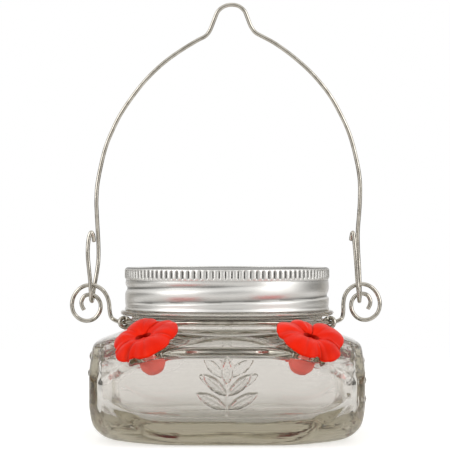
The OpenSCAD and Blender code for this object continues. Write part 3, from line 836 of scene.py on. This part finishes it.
def stopper(key):
    prof = [(3.05, -17.1), (3.15, -17.2), (3.6, -17.2), (3.85, -17.1), (4.4, -16.2), (5.05, -15.1), (5.25, -14.6), (5.29, -14.2), (5.29, -11.5), (5.2, -11.2), (5.2, -11.0),
            (5.29, -10.7), (5.29, -8.0), (5.2, -7.7), (5.2, -7.5), (5.29, -7.2), (5.29, -4.1), (5.4, -3.82), (7.1, -3.8), (7.45, -3.65), (7.58, -3.35), (7.58, -2.95), (7.45, -2.68),
            (7.15, -2.56), (3.3, -2.56), (3.05, -2.66), (3.0, -3.0), (3.0, -10)]
    rings = lathe_rings(dense(prof, 0.8, loop=True), 96)
    q, mirrored = port_place(rings.reshape(-1, 3), *CORNERS[key])
    verts, faces = solid_of_rings(q.reshape(rings.shape), loop=True, flip=mirrored)
    return new_object("stopper_%s_visual" % key, verts, faces, angle=40)


SPIN = {"front_left": 6, "front_right": 20, "rear_left": 20, "rear_right": 6}
flowers = {k: flower(k, i + 4) for i, k in enumerate(CORNERS)}
stoppers = {k: stopper(k) for k in CORNERS}


# ------------------------------------------------------------------ materials
def new_material(name):
    m = bpy.data.materials.new(name)
    m.use_nodes = True
    m.node_tree.nodes.clear()
    return m, m.node_tree


def node(nt, kind, **values):
    n = nt.nodes.new(kind)
    for key, v in values.items():
        if key in n.inputs:
            n.inputs[key].default_value = v
        else:
            setattr(n, key, v)
    return n


def link(nt, a, b):
    nt.links.new(a, b)


def coords(nt, scale, kind="Object", rot=(0, 0, 0)):
    t = nt.nodes.new("ShaderNodeTexCoord")
    m = nt.nodes.new("ShaderNodeMapping")
    m.inputs["Scale"].default_value = scale
    m.inputs["Rotation"].default_value = rot
    nt.links.new(t.outputs[kind], m.inputs["Vector"])
    return m.outputs["Vector"]


def noise(nt, vec, scale, detail=3.0, rough=0.5):
    n = nt.nodes.new("ShaderNodeTexNoise")
    n.inputs["Scale"].default_value = scale
    n.inputs["Detail"].default_value = detail
    n.inputs["Roughness"].default_value = rough
    nt.links.new(vec, n.inputs["Vector"])
    return n.outputs["Fac"]


def remap(nt, src, a, b, c, d):
    n = nt.nodes.new("ShaderNodeMapRange")
    n.inputs["From Min"].default_value = a
    n.inputs["From Max"].default_value = b
    n.inputs["To Min"].default_value = c
    n.inputs["To Max"].default_value = d
    nt.links.new(src, n.inputs["Value"])
    return n.outputs["Result"]


def mix_colour(nt, fac, c1, c2):
    n = nt.nodes.new("ShaderNodeMix")
    n.data_type = "RGBA"
    nt.links.new(fac, n.inputs["Factor"])
    for sock, c in ((n.inputs[6], c1), (n.inputs[7], c2)):
        if isinstance(c, tuple):
            sock.default_value = (*c, 1)
        else:
            nt.links.new(c, sock)
    return n.outputs[2]


def bump(nt, src, strength, distance, normal=None):
    n = nt.nodes.new("ShaderNodeBump")
    n.inputs["Strength"].default_value = strength
    n.inputs["Distance"].default_value = distance
    nt.links.new(src, n.inputs["Height"])
    if normal is not None:
        nt.links.new(normal, n.inputs["Normal"])
    return n.outputs["Normal"]


def output(nt, shader, volume=None):
    o = nt.nodes.new("ShaderNodeOutputMaterial")
    nt.links.new(shader, o.inputs["Surface"])
    if volume is not None:
        nt.links.new(volume, o.inputs["Volume"])


def glass_material():
    m, nt = new_material("clear_soda_glass")
    p = node(nt, "ShaderNodeBsdfPrincipled")
    p.inputs["Base Color"].default_value = (0.93, 0.915, 0.90, 1)
    p.inputs["IOR"].default_value = 1.5
    p.inputs["Transmission Weight"].default_value = 1.0
    vec = coords(nt, (1, 1, 1))
    smudge = noise(nt, vec, 60, 4, 0.6)
    link(nt, remap(nt, smudge, 0.45, 0.8, 0.0, 0.03), p.inputs["Roughness"])
    peel = noise(nt, vec, 220, 2, 0.5)
    streak = noise(nt, coords(nt, (35, 35, 260)), 1.0, 2, 0.5)
    nrm = bump(nt, peel, 0.02, 0.0004)
    nrm = bump(nt, streak, 0.025, 0.0006, nrm)
    # flow lines of the gather run round the foot, where the glass is thickest
    flow = noise(nt, coords(nt, (22, 22, 420)), 1.0, 3, 0.55)
    place = nt.nodes.new("ShaderNodeSeparateXYZ")
    link(nt, coords(nt, (1, 1, 1)), place.inputs[0])
    foot = remap(nt, place.outputs["Z"], 0.015, 0.006, 0, 1)
    low = nt.nodes.new("ShaderNodeMath")
    low.operation = "MULTIPLY"
    link(nt, flow, low.inputs[0])
    link(nt, foot, low.inputs[1])
    link(nt, bump(nt, low.outputs[0], 0.22, 0.0010, nrm), p.inputs["Normal"])
    see = node(nt, "ShaderNodeBsdfTransparent")
    see.inputs["Color"].default_value = (0.90, 0.92, 0.905, 1)
    lp = nt.nodes.new("ShaderNodeLightPath")
    mx = nt.nodes.new("ShaderNodeMixShader")
    link(nt, lp.outputs["Is Shadow Ray"], mx.inputs[0])
    link(nt, p.outputs[0], mx.inputs[1])
    link(nt, see.outputs[0], mx.inputs[2])
    ab = nt.nodes.new("ShaderNodeVolumeAbsorption")
    ab.inputs["Color"].default_value = (0.64, 0.60, 0.47, 1)
    ab.inputs["Density"].default_value = 19.0
    output(nt, mx.outputs[0], ab.outputs[0])
    return m


def band_material(name, lo, hi, rough_lo, rough_hi, ring_scale=1100, dark_grooves_and_painted_shade=None):
    m, nt = new_material(name)
    p = node(nt, "ShaderNodeBsdfPrincipled")
    p.inputs["Metallic"].default_value = 1.0
    spin = noise(nt, coords(nt, (9, 9, ring_scale)), 1.0, 4, 0.65)
    cloud = noise(nt, coords(nt, (1, 1, 1)), 70, 5, 0.6)
    speck = noise(nt, coords(nt, (1, 1, 1)), 1500, 2, 0.5)
    colour = mix_colour(nt, cloud, lo, hi)
    # the attribute darkens the colour towards near black: darker knurl grooves, and painted shade along the thread's
    # crease, the rim's top edge and under the knurl
    if dark_grooves_and_painted_shade is not None:
        at = nt.nodes.new("ShaderNodeAttribute")
        at.attribute_name = dark_grooves_and_painted_shade
        colour = mix_colour(nt, at.outputs["Fac"], colour, (0.07, 0.068, 0.062))
    link(nt, colour, p.inputs["Base Color"])
    both = nt.nodes.new("ShaderNodeMath")
    both.operation = "MULTIPLY_ADD"
    link(nt, spin, both.inputs[0])
    both.inputs[1].default_value = 0.6
    link(nt, cloud, both.inputs[2])
    link(nt, remap(nt, both.outputs[0], 0.45, 1.05, rough_lo, rough_hi), p.inputs["Roughness"])
    nrm = bump(nt, spin, 0.07, 0.0001)
    link(nt, bump(nt, speck, 0.05, 0.00005, nrm), p.inputs["Normal"])
    output(nt, p.outputs[0])
    return m


def wire_material():
    m, nt = new_material("nickel_plated_wire")
    p = node(nt, "ShaderNodeBsdfPrincipled")
    p.inputs["Metallic"].default_value = 1.0
    t = nt.nodes.new("ShaderNodeTexCoord")
    mp = nt.nodes.new("ShaderNodeMapping")
    mp.inputs["Scale"].default_value = (14, 3, 1)
    link(nt, t.outputs["UV"], mp.inputs["Vector"])
    draw = noise(nt, mp.outputs["Vector"], 1.0, 4, 0.6)
    spots = noise(nt, coords(nt, (1, 1, 1)), 260, 4, 0.6)
    link(nt, mix_colour(nt, remap(nt, spots, 0.4, 0.7, 0, 1), (0.60, 0.565, 0.50), (0.38, 0.35, 0.30)), p.inputs["Base Color"])
    link(nt, remap(nt, draw, 0.3, 0.75, 0.10, 0.22), p.inputs["Roughness"])
    nrm = bump(nt, draw, 0.14, 0.0002)
    link(nt, bump(nt, spots, 0.10, 0.0002, nrm), p.inputs["Normal"])
    output(nt, p.outputs[0])
    return m


def red_plastic():
    m, nt = new_material("red_moulded_plastic")
    p = node(nt, "ShaderNodeBsdfPrincipled")
    p.inputs["Subsurface Weight"].default_value = 0.08
    p.inputs["Subsurface Radius"].default_value = (0.004, 0.0008, 0.0005)
    p.inputs["Subsurface Scale"].default_value = 0.5
    p.inputs["IOR"].default_value = 1.46
    p.inputs["Specular IOR Level"].default_value = 0.5
    p.inputs["Specular Tint"].default_value = (1.0, 0.22, 0.10, 1)
    cloud = noise(nt, coords(nt, (1, 1, 1)), 110, 4, 0.55)
    fine = noise(nt, coords(nt, (1, 1, 1)), 900, 3, 0.6)
    lit = mix_colour(nt, remap(nt, cloud, 0.35, 0.7, 0, 1), (0.80, 0.014, 0.002), (0.64, 0.008, 0.0015))
    # painted shade: the fold attribute darkens the red towards a dark red in the petals' creases and the throat
    at = nt.nodes.new("ShaderNodeAttribute")
    at.attribute_name = "fold"
    painted_fold_shade = nt.nodes.new("ShaderNodeMix")
    painted_fold_shade.data_type = "RGBA"
    link(nt, at.outputs["Fac"], painted_fold_shade.inputs["Factor"])
    link(nt, lit, painted_fold_shade.inputs[6])
    painted_fold_shade.inputs[7].default_value = (0.30, 0.002, 0.0006, 1)
    link(nt, painted_fold_shade.outputs[2], p.inputs["Base Color"])
    link(nt, remap(nt, cloud, 0.3, 0.75, 0.34, 0.50), p.inputs["Roughness"])
    nrm = bump(nt, cloud, 0.18, 0.0008)
    link(nt, bump(nt, fine, 0.12, 0.0001, nrm), p.inputs["Normal"])
    output(nt, p.outputs[0])
    return m


def rubber(name, c1, c2, glow=0.0):
    m, nt = new_material(name)
    p = node(nt, "ShaderNodeBsdfPrincipled")
    # painted light: a glow in the rubber's own colour, set by glow, brightens it though it is no lamp
    p.inputs["Emission Color"].default_value = (*c1, 1)
    p.inputs["Emission Strength"].default_value = glow
    p.inputs["Subsurface Weight"].default_value = 0.25
    p.inputs["Subsurface Radius"].default_value = (0.003, 0.001, 0.0008)
    p.inputs["Subsurface Scale"].default_value = 0.6
    cloud = noise(nt, coords(nt, (1, 1, 1)), 160, 4, 0.6)
    fine = noise(nt, coords(nt, (1, 1, 1)), 1300, 2, 0.5)
    link(nt, mix_colour(nt, cloud, c1, c2), p.inputs["Base Color"])
    link(nt, remap(nt, fine, 0.3, 0.7, 0.48, 0.68), p.inputs["Roughness"])
    link(nt, bump(nt, fine, 0.25, 0.0001), p.inputs["Normal"])
    output(nt, p.outputs[0])
    return m


glass = glass_material()
tin = band_material("satin_tinplate", (0.80, 0.79, 0.765), (0.72, 0.71, 0.685), 0.36, 0.44, dark_grooves_and_painted_shade="dark_grooves_and_painted_shade")
disc_tin = band_material("bright_tinplate", (0.66, 0.655, 0.64), (0.61, 0.605, 0.59), 0.27, 0.33)
steel = wire_material()
red = red_plastic()
# painted light: the stoppers glow a little in their own colour
coral = rubber("coral_rubber", (0.92, 0.17, 0.13), (0.84, 0.13, 0.10), 0.16)
seal = rubber("ivory_sealing_compound", (0.86, 0.84, 0.78), (0.78, 0.75, 0.68))


def dress(ob, body, nodes, material):
    ob.data.materials.clear()
    ob.data.materials.append(material)
    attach(ob, body)
    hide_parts(*nodes)


dress(jar, "jar", ["glass_jar"], glass)
dress(band, "band", ["screw_band"], tin)
dress(disc, "lid", ["lid_disc"], disc_tin)
dress(gasket, "lid", ["lid_gasket"], seal)
dress(wire_front, "jar", ["neck_wire_front"], steel)
dress(wire_rear, "jar", ["neck_wire_rear"], steel)
dress(bail, "bail", ["bail"], steel)
for k in CORNERS:
    dress(flowers[k], "flower_" + k, ["flower_" + k], red)
    dress(stoppers[k], "stopper_" + k, ["stopper_" + k], coral)


# ------------------------------------------------------------------ studio
def floor_disc():
    n, radii = 96, [0.02, 0.1, 0.2, 0.4, 0.8, 1.4]
    a = 2 * math.pi * np.arange(n) / n
    rings = np.array([np.stack([r * 1000 * np.cos(a), r * 1000 * np.sin(a), np.full(n, -0.02)], -1) for r in radii])
    verts = np.vstack([rings.reshape(-1, 3), [[0, 0, -0.02]]])
    k = len(verts) - 1
    faces = [tuple(f) for f in grid_faces(len(radii), n, flip=True)] + [(k, i, (i + 1) % n) for i in range(n)]
    ob = new_object("floor", verts, faces)
    m, nt = new_material("pale_floor")
    d = node(nt, "ShaderNodeBsdfDiffuse")
    d.inputs["Color"].default_value = (0.78, 0.775, 0.765, 1)
    t = node(nt, "ShaderNodeBsdfTransparent")
    g = nt.nodes.new("ShaderNodeTexCoord")
    ln = nt.nodes.new("ShaderNodeVectorMath")
    ln.operation = "LENGTH"
    link(nt, g.outputs["Object"], ln.inputs[0])
    mr = nt.nodes.new("ShaderNodeMapRange")
    mr.interpolation_type = "SMOOTHSTEP"
    mr.inputs["From Min"].default_value = 0.16
    mr.inputs["From Max"].default_value = 0.75
    link(nt, ln.outputs["Value"], mr.inputs["Value"])
    mx = nt.nodes.new("ShaderNodeMixShader")
    link(nt, mr.outputs["Result"], mx.inputs[0])
    glow = node(nt, "ShaderNodeEmission")
    glow.inputs["Color"].default_value = (1, 0.995, 0.985, 1)
    glow.inputs["Strength"].default_value = 0.40
    lp = nt.nodes.new("ShaderNodeLightPath")
    seen = nt.nodes.new("ShaderNodeMixShader")
    link(nt, lp.outputs["Is Camera Ray"], seen.inputs[0])
    dark = node(nt, "ShaderNodeEmission")
    dark.inputs["Strength"].default_value = 0.0
    link(nt, dark.outputs[0], seen.inputs[1])
    link(nt, glow.outputs[0], seen.inputs[2])
    add = nt.nodes.new("ShaderNodeAddShader")
    link(nt, d.outputs[0], add.inputs[0])
    link(nt, seen.outputs[0], add.inputs[1])
    link(nt, add.outputs[0], mx.inputs[1])
    link(nt, t.outputs[0], mx.inputs[2])
    output(nt, mx.outputs[0])
    ob.data.materials.append(m)


floor_disc()


def world():
    w = bpy.data.worlds.new("studio")
    bpy.context.scene.world = w
    w.use_nodes = True
    nt = w.node_tree
    nt.nodes.clear()
    tc = nt.nodes.new("ShaderNodeTexCoord")
    sep = nt.nodes.new("ShaderNodeSeparateXYZ")
    link(nt, tc.outputs["Generated"], sep.inputs[0])
    up = nt.nodes.new("ShaderNodeMapRange")
    up.inputs["From Min"].default_value = -0.02
    up.inputs["From Max"].default_value = 0.03
    link(nt, sep.outputs["Z"], up.inputs["Value"])
    room = nt.nodes.new("ShaderNodeMix")
    room.data_type = "RGBA"
    link(nt, up.outputs["Result"], room.inputs["Factor"])
    room.inputs[6].default_value = (0.92, 0.905, 0.895, 1)
    room.inputs[7].default_value = (0.80, 0.795, 0.785, 1)
    high = nt.nodes.new("ShaderNodeMapRange")
    high.interpolation_type = "SMOOTHSTEP"
    high.inputs["From Min"].default_value = 0.25
    high.inputs["From Max"].default_value = 0.75
    link(nt, sep.outputs["Z"], high.inputs["Value"])
    tent = nt.nodes.new("ShaderNodeMix")
    tent.data_type = "RGBA"
    link(nt, high.outputs["Result"], tent.inputs["Factor"])
    link(nt, room.outputs[2], tent.inputs[6])
    tent.inputs[7].default_value = (0.90, 0.90, 0.89, 1)
    def ramp(src, lo, hi, to_lo, to_hi):
        n = nt.nodes.new("ShaderNodeMapRange")
        n.interpolation_type = "SMOOTHSTEP"
        n.inputs["From Min"].default_value = lo
        n.inputs["From Max"].default_value = hi
        n.inputs["To Min"].default_value = to_lo
        n.inputs["To Max"].default_value = to_hi
        link(nt, src, n.inputs["Value"])
        return n.outputs["Result"]

    def times(p, q):
        n = nt.nodes.new("ShaderNodeMath")
        n.operation = "MULTIPLY"
        link(nt, p, n.inputs[0])
        link(nt, q, n.inputs[1])
        return n.outputs[0]

    behind = times(ramp(sep.outputs["Y"], -0.20, 0.02, 0, 1), ramp(sep.outputs["Y"], 0.72, 0.90, 1, 0))
    flags = times(behind, ramp(sep.outputs["Z"], 0.12, 0.30, 1, 0))
    flags = times(flags, ramp(sep.outputs["Z"], -0.45, -0.12, 0, 1))
    front = times(ramp(sep.outputs["Y"], -0.97, -0.80, 1, 0), ramp(sep.outputs["Z"], 0.20, 0.50, 1, 0))
    dim = nt.nodes.new("ShaderNodeMix")
    dim.data_type = "RGBA"
    link(nt, front, dim.inputs["Factor"])
    link(nt, tent.outputs[2], dim.inputs[6])
    dim.inputs[7].default_value = (0.33, 0.33, 0.325, 1)
    shade = nt.nodes.new("ShaderNodeMix")
    shade.data_type = "RGBA"
    link(nt, flags, shade.inputs["Factor"])
    link(nt, dim.outputs[2], shade.inputs[6])
    shade.inputs[7].default_value = (0.10, 0.095, 0.085, 1)
    bg1 = nt.nodes.new("ShaderNodeBackground")
    link(nt, shade.outputs[2], bg1.inputs["Color"])
    bg2 = nt.nodes.new("ShaderNodeBackground")
    bg2.inputs["Color"].default_value = (1, 1, 1, 1)
    bg2.inputs["Strength"].default_value = 1.0
    lp = nt.nodes.new("ShaderNodeLightPath")
    mx = nt.nodes.new("ShaderNodeMixShader")
    link(nt, lp.outputs["Is Camera Ray"], mx.inputs[0])
    link(nt, bg1.outputs[0], mx.inputs[1])
    link(nt, bg2.outputs[0], mx.inputs[2])
    o = nt.nodes.new("ShaderNodeOutputWorld")
    link(nt, mx.outputs[0], o.inputs["Surface"])


world()


def softbox(name, loc, target, sx, sy, watts):
    L = bpy.data.lights.new(name, "AREA")
    L.shape = "RECTANGLE"
    L.size, L.size_y = sx, sy
    L.energy = watts
    ob = bpy.data.objects.new(name, L)
    bpy.context.scene.collection.objects.link(ob)
    d = np.array(target, float) - np.array(loc, float)
    from mathutils import Vector
    ob.location = loc
    ob.rotation_euler = Vector(d).to_track_quat("-Z", "Y").to_euler()


softbox("softbox_left", (-1.05, -0.62, 0.55), (0, 0, 0.07), 0.9, 1.0, 5.6)
softbox("softbox_right", (1.05, -0.62, 0.55), (0, 0, 0.07), 0.9, 1.0, 5.6)
softbox("top_light", (0, 0.25, 1.5), (0, 0, 0.05), 1.2, 0.9, 1.0)

# light runs along inside the thick glass for many turns
cyc = getattr(bpy.context.scene, "cycles", None)
if cyc is not None:
    cyc.max_bounces = 32
    cyc.glossy_bounces = 24
    cyc.transmission_bounces = 32
    cyc.transparent_max_bounces = 32

view = bpy.context.scene.view_settings
view.view_transform = "Standard"
view.look = "None"
view.exposure = 0.0
view.gamma = 1.0
